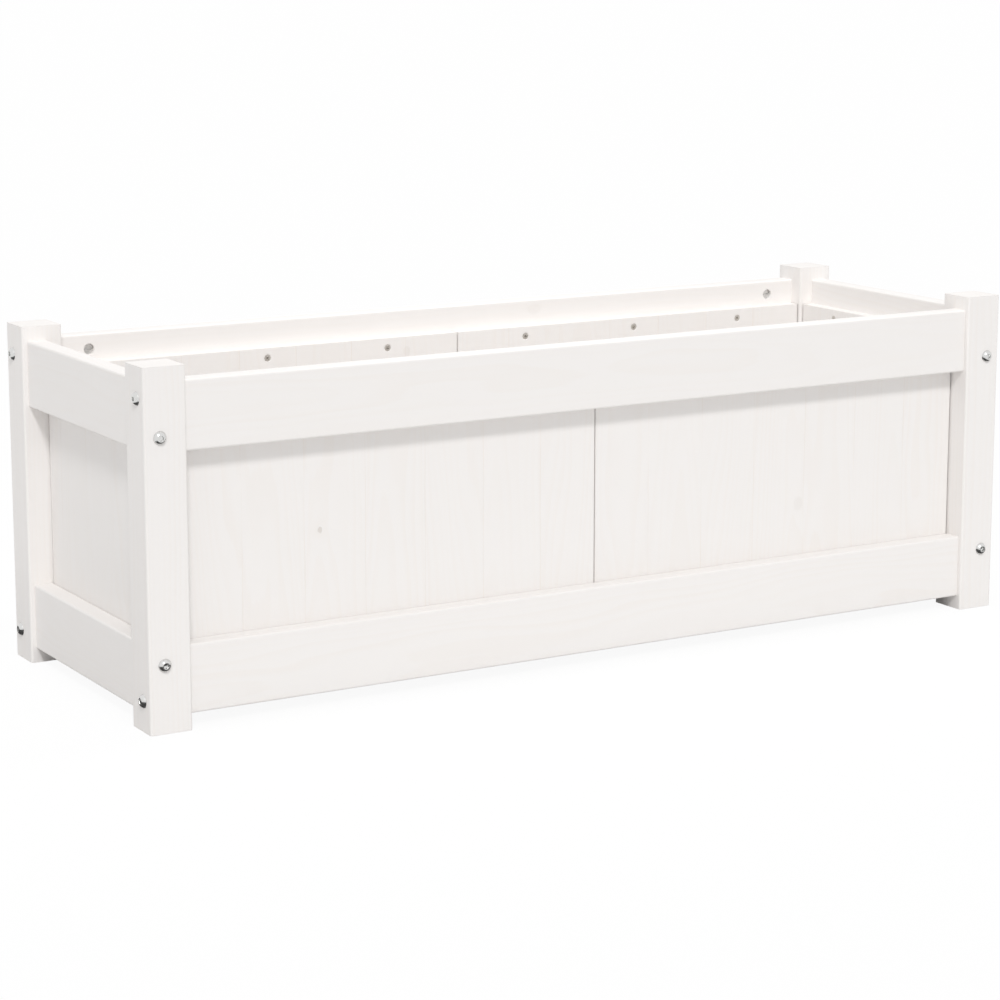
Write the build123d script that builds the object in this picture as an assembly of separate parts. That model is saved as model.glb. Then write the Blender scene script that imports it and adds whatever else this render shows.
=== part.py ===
from build123d import *

import os
from math import atan, cos, degrees, pi, sqrt

# A raised garden bed of painted pine, piece by piece, in millimetres.
# X runs along the bed, Y from its front to its back and Z up. The origin is on the
# ground, in the middle of the four posts.

# The whole bed, over the posts
LENGTH = 900.0
WIDTH = 310.0
HEIGHT = 310.0

# Square corner posts with plain sawn ends. POST_EASE rounds their upright edges.
POST_SIDE = 38.0
POST_EASE = 2.0

# Rails between the posts, one pair to each side, set back from the posts' outer faces.
# RAIL_END_MARGIN is how far a rail's edge stays from the nearer end of the posts.
RAIL_HEIGHT = 60.0
RAIL_THICKNESS = 18.0
RAIL_SETBACK = 5.0
RAIL_END_MARGIN = 13.0
RAIL_EASE = 2.0

# Panels against the rails' inner faces. PANEL_LAP is the height of rail that each covers.
PANEL_THICKNESS = 12.0
PANEL_LAP = 35.0
PANEL_POST_GAP = 1.1
PANEL_SEAM = 1.0
PANEL_EASE = 0.6

# Two holes in each end of a rail, one for a bolt and one for a dowel, this far from
# the rail's edges
HOLE_EDGE = 14.0

# Bolts with a domed button head and a hexagon socket
BOLT_RADIUS = 3.0
BOLT_CLEARANCE = 0.25
BOLT_PAST_NUT = 5.0
BOLT_END_SPACE = 2.0
HEAD_RADIUS = 6.0
HEAD_HEIGHT = 3.3
HEAD_LAND = 0.9
SOCKET_FLATS = 4.0
SOCKET_DEPTH = 2.0

# Barrel nuts, let into the rails from their inner faces. NUT_INSET is how deep both
# ends lie under the rail's faces.
NUT_RADIUS = 5.0
NUT_FROM_END = 32.0
NUT_INSET = 3.0
NUT_CLEARANCE = 0.15
NUT_END_SPACE = 0.5
THREAD_CLEARANCE = 0.05

# Wooden dowels. DOWEL_TO_BOLT is the wood left in the post between the end of a dowel's
# hole and the bolt that crosses behind it.
DOWEL_RADIUS = 4.0
DOWEL_IN_RAIL = 15.0
DOWEL_TO_BOLT = 4.75
DOWEL_CLEARANCE = 0.1
DOWEL_END_SPACE = 1.0

# Countersunk screws that hold the panels, driven from inside the bed. SCREW_COVER is
# the wood left between a screw's tip and the rail's outer face.
SCREW_RADIUS = 1.75
SCREW_HEAD_RADIUS = 3.5
SCREW_SINK = 0.4
SCREW_CLEARANCE = 0.1
SCREW_COVER = 5.0
SCREW_INSET = 9.5
LONG_PANEL_SCREWS = 3
LONG_PANEL_MARGIN = 77.0
END_PANEL_SCREWS = 2
END_PANEL_MARGIN = 53.0

# Bearers screwed along the foot of the long panels, and the slats of the base
BEARER_HEIGHT = 20.0
BEARER_THICKNESS = 20.0
BEARER_POST_GAP = 1.0
SLAT_COUNT = 8
SLAT_THICKNESS = 12.0
SLAT_GAP = 9.0
SLAT_POST_GAP = 1.0
SLAT_PANEL_GAP = 1.5
BATTEN_EASE = 1.0

# The hardware repeats, so its rounds are drawn with flats: more on heads, nuts and the
# holes of the nuts, fewer on shanks and their holes. A head's dome has this many slopes.
HEAD_FLATS = 12
SHANK_FLATS = 8
DOME_SLOPES = 2

# How far a cutting shape runs past the face that it opens
CUT_PAST = 1.0

# Depths in from the posts' outer faces
rail_middle = RAIL_SETBACK + RAIL_THICKNESS / 2
rail_inside = RAIL_SETBACK + RAIL_THICKNESS
panel_inside = rail_inside + PANEL_THICKNESS

# Heights above the ground
low_rail = RAIL_END_MARGIN + RAIL_HEIGHT / 2
high_rail = HEIGHT - low_rail
panel_foot = RAIL_END_MARGIN + RAIL_HEIGHT - PANEL_LAP
panel_height = HEIGHT - 2 * panel_foot
bearer_line = panel_foot + BEARER_HEIGHT / 2
slat_foot = panel_foot + BEARER_HEIGHT

# Heights of the holes: long rails are bolted by the holes nearest the ends of the posts,
# and short rails by the other ones, so that no two bolts meet in a post
hole_offset = RAIL_HEIGHT / 2 - HOLE_EDGE
outer_holes = (low_rail - hole_offset, high_rail + hole_offset)
inner_holes = (low_rail + hole_offset, high_rail - hole_offset)

# Lengths between the posts, and widths of the panels that stand there
long_span = LENGTH - 2 * POST_SIDE
short_span = WIDTH - 2 * POST_SIDE
long_panel_width = (long_span - PANEL_SEAM) / 2 - PANEL_POST_GAP
end_panel_width = short_span - 2 * PANEL_POST_GAP
long_panel_centre = (PANEL_SEAM + long_panel_width) / 2

# Hardware sizes that follow from the wood
bolt_bore = BOLT_RADIUS + BOLT_CLEARANCE
bolt_length = POST_SIDE + NUT_FROM_END + NUT_RADIUS + BOLT_PAST_NUT
nut_length = RAIL_THICKNESS - 2 * NUT_INSET
dowel_bore = DOWEL_RADIUS + DOWEL_CLEARANCE
dowel_bore_in_post = POST_SIDE - rail_middle - bolt_bore - DOWEL_TO_BOLT
dowel_in_post = dowel_bore_in_post - DOWEL_END_SPACE
screw_bore = SCREW_RADIUS + SCREW_CLEARANCE
screw_bite = RAIL_THICKNESS - SCREW_COVER
short_screw_length = PANEL_THICKNESS + screw_bite
long_screw_length = BEARER_THICKNESS + short_screw_length


def rod(radius, length, flats=SHANK_FLATS):
    """A round shank, or the hole round one, standing on the origin along +Z."""
    return extrude(RegularPolygon(radius, flats), length)


def cone(wide, narrow, length, flats=SHANK_FLATS):
    """A blunt cone, wide on the origin's plane and narrow at its end along +Z."""
    slope = degrees(atan((wide - narrow) * cos(pi / flats) / length))
    return extrude(RegularPolygon(wide, flats), length, taper=slope)


def along(axis, start, across, height):
    """The place of a shape that stands along +Z, once it lies along +X or +Y."""
    if axis == "X":
        return Pos(start, across, height) * Rot(0, 90, 0)
    return Pos(across, start, height) * Rot(-90, 0, 0)


def spread(count, width, margin):
    """Places across a width, the outer ones a margin in from its edges."""
    first = margin - width / 2
    step = -2 * first / (count - 1) if count > 1 else 0
    return [first + step * i for i in range(count)]


def front_and_back(shape):
    """A piece at the front and its mirror image at the back."""
    return shape, mirror(shape, about=Plane.XZ)


def left_and_right(shape):
    """A piece on the left and its mirror image on the right."""
    return shape, mirror(shape, about=Plane.YZ)


def bolt():
    """A bolt that runs along +Z from under its head, whose dome is part of a ball."""
    land = SOCKET_FLATS / sqrt(3) + HEAD_LAND
    ball_drop = (HEAD_RADIUS**2 - land**2 - HEAD_HEIGHT**2) / (2 * HEAD_HEIGHT)
    ball_radius = sqrt(HEAD_RADIUS**2 + ball_drop**2)
    step = HEAD_HEIGHT / DOME_SLOPES
    radii = [
        sqrt(ball_radius**2 - (ball_drop + step * i) ** 2) for i in range(DOME_SLOPES + 1)
    ]
    head = Part()
    for i in range(DOME_SLOPES):
        head += Pos(0, 0, step * i) * cone(radii[i], radii[i + 1], step, HEAD_FLATS)
    hexagon = RegularPolygon(SOCKET_FLATS / 2, 6, major_radius=False)
    head -= Pos(0, 0, HEAD_HEIGHT - SOCKET_DEPTH) * extrude(hexagon, HEAD_HEIGHT)
    return Rot(180, 0, 0) * head + rod(BOLT_RADIUS, bolt_length)


def barrel_nut():
    """A barrel nut round the origin along Z, cross drilled along X."""
    nut = Pos(0, 0, -nut_length / 2) * rod(NUT_RADIUS, nut_length, HEAD_FLATS)
    thread = rod(BOLT_RADIUS + THREAD_CLEARANCE, 4 * NUT_RADIUS)
    return nut - along("X", -2 * NUT_RADIUS, 0, 0) * thread


def screw(length):
    """A countersunk screw along +Z, its head sunk a little under the origin's plane."""
    head_height = SCREW_HEAD_RADIUS - SCREW_RADIUS
    head = cone(SCREW_HEAD_RADIUS, SCREW_RADIUS, head_height)
    stem = rod(SCREW_RADIUS, length - SCREW_SINK - head_height)
    return Pos(0, 0, SCREW_SINK) * (head + Pos(0, 0, head_height) * stem)


def screw_hole(depth, countersunk=True):
    """What a screw takes out of the wood that it passes, from the origin along +Z."""
    hole = Pos(0, 0, -CUT_PAST) * rod(screw_bore, depth + 2 * CUT_PAST)
    if not countersunk:
        return hole
    mouth = SCREW_HEAD_RADIUS + SCREW_SINK + CUT_PAST
    return hole + Pos(0, 0, -CUT_PAST) * cone(mouth, screw_bore, mouth - screw_bore)


def post():
    """The front left post, bored for a long rail on +X and a short rail on +Y."""
    body = extrude(RectangleRounded(POST_SIDE, POST_SIDE, POST_EASE), HEIGHT)
    body = Pos(POST_SIDE / 2, POST_SIDE / 2, 0) * body
    through = Pos(0, 0, -CUT_PAST) * rod(bolt_bore, POST_SIDE + 2 * CUT_PAST)
    blind = rod(dowel_bore, dowel_bore_in_post + CUT_PAST)
    blind_start = POST_SIDE - dowel_bore_in_post
    for axis, bolted, dowelled in (
        ("X", outer_holes, inner_holes),
        ("Y", inner_holes, outer_holes),
    ):
        for height in bolted:
            body -= along(axis, 0, rail_middle, height) * through
        for height in dowelled:
            body -= along(axis, blind_start, rail_middle, height) * blind
    return Pos(-LENGTH / 2, -WIDTH / 2, 0) * body


def rail(span, bolt_side, screw_places, screw_line):
    """A rail round the origin, along X, with its inner face on +Y.

    bolt_side is 1 where the bolts use the upper holes and -1 where they use the lower.
    screw_line is the height of the panel's screws above the rail's middle.
    """
    body = Box(span, RAIL_THICKNESS, RAIL_HEIGHT)
    body = fillet(body.edges().filter_by(Axis.X), RAIL_EASE)
    end = -span / 2
    bolt_line = bolt_side * hole_offset
    bolt_depth = bolt_length - POST_SIDE + BOLT_END_SPACE
    pocket_depth = RAIL_THICKNESS / 2 + nut_length / 2 + NUT_END_SPACE
    dowel_depth = DOWEL_IN_RAIL + DOWEL_END_SPACE
    bolt_hole = rod(bolt_bore, bolt_depth + CUT_PAST)
    dowel_hole = rod(dowel_bore, dowel_depth + CUT_PAST)
    nut_hole = rod(NUT_RADIUS + NUT_CLEARANCE, pocket_depth + CUT_PAST, HEAD_FLATS)
    nut_floor = RAIL_THICKNESS / 2 - pocket_depth
    cuts = [
        along("X", end - CUT_PAST, 0, bolt_line) * bolt_hole,
        along("X", end - CUT_PAST, 0, -bolt_line) * dowel_hole,
        along("Y", nut_floor, end + NUT_FROM_END, bolt_line) * nut_hole,
    ]
    for cut in cuts:
        for one in left_and_right(cut):
            body -= one
    pilot = rod(screw_bore, screw_bite + CUT_PAST)
    for x in screw_places:
        body -= along("Y", RAIL_THICKNESS / 2 - screw_bite, x, screw_line) * pilot
    return body


def rail_hardware(span, bolt_side):
    """The bolts, barrel nuts and dowels in the two ends of such a rail."""
    end = -span / 2
    bolt_line = bolt_side * hole_offset
    dowel = rod(DOWEL_RADIUS, dowel_in_post + DOWEL_IN_RAIL)
    return {
        "bolts": left_and_right(along("X", end - POST_SIDE, 0, bolt_line) * bolt()),
        "barrel_nuts": left_and_right(
            along("Y", 0, end + NUT_FROM_END, bolt_line) * barrel_nut()
        ),
        "dowels": left_and_right(along("X", end - dowel_in_post, 0, -bolt_line) * dowel),
    }


def panel(width, screw_places, foot_line, foot_countersunk):
    """A panel round the origin, facing +Y, its screws driven from +Y.

    foot_line is the height of the lower screws above the panel's foot.
    """
    body = Box(width, PANEL_THICKNESS, panel_height)
    body = chamfer(body.edges().filter_by(Axis.Z), PANEL_EASE)
    top_line = panel_height / 2 - SCREW_INSET
    bottom_line = foot_line - panel_height / 2
    top_hole = Rot(90, 0, 0) * screw_hole(PANEL_THICKNESS)
    bottom_hole = Rot(90, 0, 0) * screw_hole(PANEL_THICKNESS, foot_countersunk)
    for x in screw_places:
        body -= Pos(x, PANEL_THICKNESS / 2, top_line) * top_hole
        body -= Pos(x, PANEL_THICKNESS / 2, bottom_line) * bottom_hole
    return body


def batten(length, width, thickness):
    """A sawn batten or slat round the origin, along X, with its long edges eased."""
    body = Box(length, width, thickness)
    return chamfer(body.edges().filter_by(Axis.X), BATTEN_EASE)


def front_bearer(screw_places):
    """The front bearer, screwed through the long panels into the lower front rail."""
    body = batten(long_span - 2 * BEARER_POST_GAP, BEARER_THICKNESS, BEARER_HEIGHT)
    hole = Rot(90, 0, 0) * screw_hole(BEARER_THICKNESS)
    for x in screw_places:
        body -= Pos(x, BEARER_THICKNESS / 2, 0) * hole
    return Pos(0, -WIDTH / 2 + panel_inside + BEARER_THICKNESS / 2, bearer_line) * body


def slats():
    """The slats of the base, side by side across the bearers."""
    run = long_span - 2 * SLAT_POST_GAP
    width = (run - (SLAT_COUNT - 1) * SLAT_GAP) / SLAT_COUNT
    length = WIDTH - 2 * (panel_inside + SLAT_PANEL_GAP)
    slat = Rot(0, 0, 90) * batten(length, width, SLAT_THICKNESS)
    height = slat_foot + SLAT_THICKNESS / 2
    return [Pos(x, 0, height) * slat for x in spread(SLAT_COUNT, run, width / 2)]


def group(pieces):
    """Like pieces as one node of separate solids."""
    return Compound([piece.solid() for piece in pieces])


def with_mirror(pieces, sides):
    """Like pieces from one side of the bed and their mirror images, as one node."""
    return group([twin for piece in pieces for twin in sides(piece)])


# Where the panels' screws stand along each side: on a long panel from its own middle,
# and along a whole side from the middle of the bed
long_panel_screws = spread(LONG_PANEL_SCREWS, long_panel_width, LONG_PANEL_MARGIN)
half_screws = [long_panel_centre + x for x in long_panel_screws]
long_screws = half_screws + [-x for x in half_screws]
end_screws = spread(END_PANEL_SCREWS, end_panel_width, END_PANEL_MARGIN)

# Places of a rail or panel at the front and on the left. The inner faces look inwards.
at_front = Pos(0, -WIDTH / 2, 0)
at_left = Pos(-LENGTH / 2, 0, 0) * Rot(0, 0, -90)

parts = {}

front_left = post()
back_left = mirror(front_left, about=Plane.XZ)
parts["post_front_left"] = front_left
parts["post_back_left"] = back_left
parts["post_front_right"] = mirror(front_left, about=Plane.YZ)
parts["post_back_right"] = mirror(back_left, about=Plane.YZ)

# Heights of the panels' upper and lower screws. On the long sides the lower ones are on
# the bearers' line instead. The rails need these heights from their own middles.
top_line = HEIGHT - panel_foot - SCREW_INSET
foot_line = panel_foot + SCREW_INSET
top_screw_line = top_line - high_rail
foot_screw_line = foot_line - low_rail
bearer_screw_line = bearer_line - low_rail

long_hardware = {"bolts": [], "barrel_nuts": [], "dowels": []}
short_hardware = {"bolts": [], "barrel_nuts": [], "dowels": []}
for level, height, side, long_line, short_line in (
    ("bottom", low_rail, -1, bearer_screw_line, foot_screw_line),
    ("top", high_rail, 1, top_screw_line, top_screw_line),
):
    front = at_front * Pos(0, rail_middle, height)
    left = at_left * Pos(0, rail_middle, height)
    front_rail = front * rail(long_span, side, long_screws, long_line)
    left_rail = left * rail(short_span, -side, end_screws, short_line)
    parts["rail_front_" + level], parts["rail_back_" + level] = front_and_back(front_rail)
    parts["rail_left_" + level], parts["rail_right_" + level] = left_and_right(left_rail)
    for kind, pieces in rail_hardware(long_span, side).items():
        long_hardware[kind] += [front * piece for piece in pieces]
    for kind, pieces in rail_hardware(short_span, -side).items():
        short_hardware[kind] += [left * piece for piece in pieces]
for kind in long_hardware:
    parts[kind + "_long_rails"] = with_mirror(long_hardware[kind], front_and_back)
    parts[kind + "_short_rails"] = with_mirror(short_hardware[kind], left_and_right)

panel_middle = Pos(0, panel_inside - PANEL_THICKNESS / 2, HEIGHT / 2)
long_panel = panel(long_panel_width, long_panel_screws, BEARER_HEIGHT / 2, False)
front_left_panel = at_front * panel_middle * Pos(-long_panel_centre, 0, 0) * long_panel
panels_left = front_and_back(front_left_panel)
parts["panel_front_left"], parts["panel_back_left"] = panels_left
parts["panel_front_right"] = mirror(panels_left[0], about=Plane.YZ)
parts["panel_back_right"] = mirror(panels_left[1], about=Plane.YZ)
left_panel = at_left * panel_middle * panel(end_panel_width, end_screws, SCREW_INSET, True)
parts["panel_left_end"], parts["panel_right_end"] = left_and_right(left_panel)

# Screws driven outwards: short ones through the panels, long ones through the bearers
short_screw = Rot(90, 0, 0) * screw(short_screw_length)
long_screw = Rot(90, 0, 0) * screw(long_screw_length)
side_screws = [at_front * Pos(x, panel_inside, top_line) * short_screw for x in long_screws]
end_panel_screws = [
    at_left * Pos(x, panel_inside, line) * short_screw
    for x in end_screws
    for line in (foot_line, top_line)
]
bearer_inside = panel_inside + BEARER_THICKNESS
bearer_screws = [
    at_front * Pos(x, bearer_inside, bearer_line) * long_screw for x in long_screws
]
parts["panel_screws_long_sides"] = with_mirror(side_screws, front_and_back)
parts["panel_screws_ends"] = with_mirror(end_panel_screws, left_and_right)
parts["bearer_screws"] = with_mirror(bearer_screws, front_and_back)

parts["bearer_front"], parts["bearer_back"] = front_and_back(front_bearer(long_screws))
for number, slat in enumerate(slats(), start=1):
    parts[f"base_slat_{number}"] = slat

os.makedirs("parts", exist_ok=True)
for name, shape in parts.items():
    export_step(shape, f"parts/{name}.step")
print(len(parts), "nodes")
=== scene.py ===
import math
from itertools import chain

import bmesh
import bpy
import numpy as np
from bpy.props import FloatProperty, FloatVectorProperty, IntProperty, PointerProperty
from mathutils import Matrix, Vector


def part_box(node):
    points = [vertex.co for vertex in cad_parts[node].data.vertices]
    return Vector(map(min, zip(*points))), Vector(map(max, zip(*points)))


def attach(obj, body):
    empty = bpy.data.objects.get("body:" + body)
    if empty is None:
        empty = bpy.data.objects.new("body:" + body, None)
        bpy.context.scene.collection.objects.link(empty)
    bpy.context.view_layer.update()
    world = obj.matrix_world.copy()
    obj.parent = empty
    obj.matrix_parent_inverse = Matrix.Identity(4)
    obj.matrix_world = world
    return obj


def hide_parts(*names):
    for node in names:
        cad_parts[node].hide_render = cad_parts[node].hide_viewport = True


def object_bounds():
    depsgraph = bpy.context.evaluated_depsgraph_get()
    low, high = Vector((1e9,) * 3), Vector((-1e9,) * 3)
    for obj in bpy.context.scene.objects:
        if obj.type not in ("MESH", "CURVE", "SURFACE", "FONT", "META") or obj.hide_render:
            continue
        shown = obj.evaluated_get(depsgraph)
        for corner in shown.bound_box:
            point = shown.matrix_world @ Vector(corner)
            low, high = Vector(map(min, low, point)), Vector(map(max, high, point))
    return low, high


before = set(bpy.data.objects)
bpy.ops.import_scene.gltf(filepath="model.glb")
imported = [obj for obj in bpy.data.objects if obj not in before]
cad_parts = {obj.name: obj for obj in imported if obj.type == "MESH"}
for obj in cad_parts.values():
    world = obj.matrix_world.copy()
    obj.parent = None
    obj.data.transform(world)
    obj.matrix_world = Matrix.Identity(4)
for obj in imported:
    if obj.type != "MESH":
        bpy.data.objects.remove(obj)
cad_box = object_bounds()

bl_info = {
    "name": "Raised Garden Bed",
    "version": (1, 0, 0),
    "blender": (4, 5, 0),
    "location": "View3D > Sidebar > Garden Bed",
    "description": "Paints the timber of a raised garden bed and makes its fasteners",
    "category": "Object",
}

# The row frame is in metres. Board patterns and fasteners are worked out in millimetres.
MM = 0.001

X, Y, Z = 0, 1, 2

WHITE = (1.0, 1.0, 1.0, 1.0)

# Width of the fill lamp, and how far it hangs inside the bed's front, in metres
FILL_WIDTH = 0.06
FILL_INSET = 0.06

# Height on the back that the fill lamp points at, as a share of the bed's height
FILL_AIM = 0.7

# Half the floor's side, in metres
FLOOR_HALF = 60.0

# Height of the dark card over the floor, in millimetres
CARD_HEIGHT = 0.4

# Width of the camera's sensor, in millimetres
SENSOR_WIDTH = 36.0

# Vertical shift of the camera's lens, as a share of the picture
LENS_SHIFT = -0.06

# Furthest that the camera draws, in metres
CLIP_END = 200.0

# Faces that meet at a smaller angle than this are shaded as one surface
SMOOTH_ANGLE = math.radians(32)

# Rings of points in one turn of a thread, over a bolt's dome, along its plain shank, from a
# barrel nut's bore to its wall's sides, and through its bore
RINGS_PER_TURN = 6
DOME_RINGS = 12
SHANK_RINGS = 6
WALL_RINGS = 7
BORE_RINGS = 61

# Depth of a bolt's thread, as a share of its pitch
THREAD_DEPTH = 0.61

# Depth of a bolt's socket, and width of the land beyond its corners, in millimetres
SOCKET_DEPTH = 2.0
LAND_WIDTH = 0.9

# Clearance of a barrel nut's bore round its bolt, in millimetres
BORE_CLEARANCE = 0.05

# Length of a screw's tapered point, in millimetres
SCREW_POINT = 5.0

# How far the roughness of a finish wanders to either side
ROUGH_SPREAD = 0.08

# How much rougher the barrel nuts and the screws are than the bolts
NUT_ROUGHER = 0.1
SCREW_ROUGHER = 0.12

# Points nearer to each other than this are one, in metres
SAME_POINT = 1e-6

# Stave width, in millimetres, that makes a whole board one stave
ONE_STAVE = 4000

# Most that a stave's pattern is shifted along the grain, and the shift from one board to
# the next, in millimetres, so that no two look alike
STAVE_SHIFT = 400.0
BOARD_SHIFT = 37.0

# Grain direction of each kind of board, by the start of its node's name
GRAIN = {
    "post": Z,
    "rail_front": X,
    "rail_back": X,
    "rail_left": Y,
    "rail_right": Y,
    "panel": Z,
    "bearer": X,
    "base_slat": Y,
}

# Knots that the paint lets through. Each is its place along the grain and across it from the
# board's middle and its radius, in millimetres, and how strongly it shows, from 0 to 1
KNOTS = {
    "panel_front_left": (-2.4, -73.8, 2.2, 1.0),
    "panel_front_right": (-33.0, 23.3, 5.5, 0.2),
    "rail_back_top": (94.5, 20.0, 6.0, 0.15),
    "panel_back_left": (103.0, 149.0, 4.0, 0.3),
    "panel_back_right": (-41.0, -96.0, 5.0, 0.5),
    "panel_right_end": (22.0, 48.0, 4.5, 0.5),
    "base_slat_3": (31.0, 12.0, 6.0, 0.7),
    "base_slat_6": (-64.0, -20.0, 5.0, 0.7),
}
NO_KNOT = (0.0, 0.0, 1.0, 0.0)


def colour(name, description, default):
    """A colour that a user may change."""
    return FloatVectorProperty(
        name=name, description=description, default=default, subtype="COLOR", min=0, max=1
    )


def length(name, description, default):
    """A length that a user may change, given in millimetres."""
    return FloatProperty(
        name=name,
        description=description,
        default=default * MM,
        unit="LENGTH",
        subtype="DISTANCE",
        min=0,
        precision=5,
    )


def share(name, description, default):
    """A share from 0 to 1 that a user may change."""
    return FloatProperty(
        name=name, description=description, default=default, min=0, max=1, subtype="FACTOR"
    )


class GardenBedPaint(bpy.types.PropertyGroup):
    """The paint on the boards, and the pine that shows through it."""

    paint: colour("Paint", "Colour of the paint where it covers well", (0.882, 0.858, 0.840))
    thin: colour("Thin paint", "Colour of the paint over late wood and edges", (0.80, 0.70, 0.60))
    knot: colour("Knot", "Colour of a knot under the paint", (0.55, 0.49, 0.43))
    show: share("Grain shown", "How much of the grain the paint lets through", 0.08)
    stave: length("Stave width", "Width of the staves that the panels are glued from", 59.1)
    ring: length("Ring spacing", "Width of one year's growth", 4.6)
    relief: length("Relief", "How far late wood stands up under the paint", 0.02)
    ease: length("Edge easing", "Radius that softens the boards' edges", 0.7)
    rough: share("Roughness", "Roughness of the dry paint", 0.52)


class GardenBedSteel(bpy.types.PropertyGroup):
    """The bolts, barrel nuts and screws."""

    zinc: colour("Zinc", "Colour of the bolts and nuts", (0.74, 0.74, 0.73))
    screw: colour("Screw", "Colour of the screws", (0.70, 0.68, 0.64))
    rough: share("Roughness", "Roughness of the plating", 0.20)
    head: length("Head diameter", "Diameter of a bolt's head", 12.0)
    dome: length("Head height", "Height of a bolt's domed head", 3.3)
    socket: length("Socket", "Width across the flats of a bolt's socket", 4.0)
    bolt: length("Bolt diameter", "Diameter of a bolt's thread", 6.0)
    pitch: length("Bolt pitch", "Rise of one turn of a bolt's thread", 1.0)
    thread: length("Thread length", "Length of thread at a bolt's end", 24.0)
    nut_slot: length("Nut slot", "Length of the slot in a barrel nut's end", 7.0)
    screw_pitch: length("Screw pitch", "Rise of one turn of a screw's thread", 1.8)
    columns: IntProperty(
        name="Columns", description="Points round a bolt", default=36, min=12, step=12
    )


class GardenBedDowel(bpy.types.PropertyGroup):
    """The fluted dowels in the corner joints."""

    beech: colour("Beech", "Colour of the dowels", (0.62, 0.45, 0.30))
    dark: colour("Dark beech", "Colour of the dowels' flecks", (0.46, 0.30, 0.18))
    flutes: IntProperty(name="Flutes", description="Grooves round a dowel", default=18, min=6)
    depth: length("Flute depth", "Depth of a dowel's grooves", 0.3)
    bevel: length("End bevel", "Bevel at a dowel's ends", 1.0)


class GardenBedStage(bpy.types.PropertyGroup):
    """The studio: its floor, its light and its camera."""

    sky: share("Sky", "Light from all round the object", 0.64)
    bounce: colour("Floor", "Colour of the floor as the object sees it", (0.86, 0.86, 0.86))
    shadow: share("Shadow", "How much of the floor's own shading the camera sees", 0.07)
    key: FloatProperty(
        name="Key lamp", description="Strength of the key lamp", default=1.27, min=0
    )
    key_spread: FloatProperty(
        name="Key spread",
        description="Angle that the key lamp covers, which softens its shadows",
        default=math.radians(10),
        subtype="ANGLE",
    )
    key_way: FloatVectorProperty(
        name="Key direction",
        description="Direction from the object to the key lamp",
        default=(-0.43, -0.92, 1.0),
        subtype="DIRECTION",
    )
    fill: FloatProperty(
        name="Fill lamp",
        description="Power of the lamp over the front rails, which lights the inside",
        default=1.25,
        unit="POWER",
    )
    fill_height: FloatProperty(
        name="Fill height", description="Height of the fill lamp", default=0.8, unit="LENGTH"
    )
    card: share("Card", "Brightness of the dark card that the bolts' heads reflect", 0.08)
    card_edge: length("Card edge", "How far the dark card stands out round the bed", 260.0)
    eye: FloatVectorProperty(
        name="Camera",
        description="Place of the camera",
        default=(-1.3286, -2.2227, 0.6621),
        subtype="TRANSLATION",
        unit="LENGTH",
    )
    turn: FloatProperty(
        name="Camera turn",
        description="Angle of the view from +Y towards +X",
        default=math.radians(30.44),
        subtype="ANGLE",
    )
    tilt: FloatProperty(
        name="Camera tilt",
        description="Angle of the view below level",
        default=math.radians(10.46),
        subtype="ANGLE",
    )
    lens: FloatProperty(
        name="Lens", description="Focal length", default=100.08, unit="CAMERA"
    )


class Wiring:
    """Adds nodes to a node tree and links them, so that a pattern reads as a formula."""

    def __init__(self, tree):
        self.tree = tree

    def add(self, kind, inputs=(), **settings):
        """A node with its settings. An input that is a socket is linked, and any other is set."""
        node = self.tree.nodes.new(kind)
        for key, value in settings.items():
            setattr(node, key, value)
        for key, value in dict(inputs).items():
            if isinstance(value, bpy.types.NodeSocket):
                self.tree.links.new(value, node.inputs[key])
            else:
                node.inputs[key].default_value = value
        return node

    def math(self, operation, a, b=0.0, c=0.0):
        """One step of arithmetic. MULTIPLY_ADD is a times b, plus c."""
        return self.add("ShaderNodeMath", {0: a, 1: b, 2: c}, operation=operation).outputs[0]

    def between(self, value, start, end):
        """What runs from 0 to 1 made to run from start to end."""
        return self.math("MULTIPLY_ADD", value, end - start, start)

    def plus(self, value, *parts):
        """A value plus its parts, each given with its weight."""
        for part, weight in parts:
            value = self.math("MULTIPLY_ADD", part, weight, value)
        return value

    def vector(self, operation, a, b=(0, 0, 0)):
        """One step of arithmetic on vectors, or the length of one."""
        node = self.add("ShaderNodeVectorMath", {0: a, 1: b}, operation=operation)
        return node.outputs["Value" if operation == "LENGTH" else "Vector"]

    def combine(self, a, b, c):
        """A vector from three numbers."""
        return self.add("ShaderNodeCombineXYZ", {0: a, 1: b, 2: c}).outputs[0]

    def split(self, vector):
        """The three numbers of a vector."""
        return self.add("ShaderNodeSeparateXYZ", {0: vector}).outputs[:]

    def fade(self, value, start, end):
        """0 before start and 1 after end, smooth between them. Start may be above end."""
        inputs = {"Value": value, "From Min": start, "From Max": end}
        node = self.add("ShaderNodeMapRange", inputs, interpolation_type="SMOOTHSTEP")
        return node.outputs["Result"]

    def draws(self, vector):
        """Random numbers that belong to a vector: one as Value, and three as Color."""
        inputs = {"Vector": vector}
        return self.add("ShaderNodeTexWhiteNoise", inputs, noise_dimensions="3D").outputs

    def noise(self, vector, scale, detail=2.0, rough=0.5):
        """Smooth noise from 0 to 1."""
        inputs = {"Vector": vector, "Scale": scale, "Detail": detail, "Roughness": rough}
        return self.add("ShaderNodeTexNoise", inputs).outputs[0]

    def mix(self, share_of_b, a, b):
        """Colour a turning into colour b."""
        inputs = {0: share_of_b, 6: a, 7: b}
        return self.add("ShaderNodeMix", inputs, data_type="RGBA").outputs[2]


def rgba(value):
    """An opaque colour from red, green and blue."""
    return (*value, 1.0)


def new_material(name):
    """An empty material, its wiring and its output node."""
    material = bpy.data.materials.new(name)
    material.use_nodes = True
    material.node_tree.nodes.clear()
    wiring = Wiring(material.node_tree)
    return material, wiring, wiring.add("ShaderNodeOutputMaterial")


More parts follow.
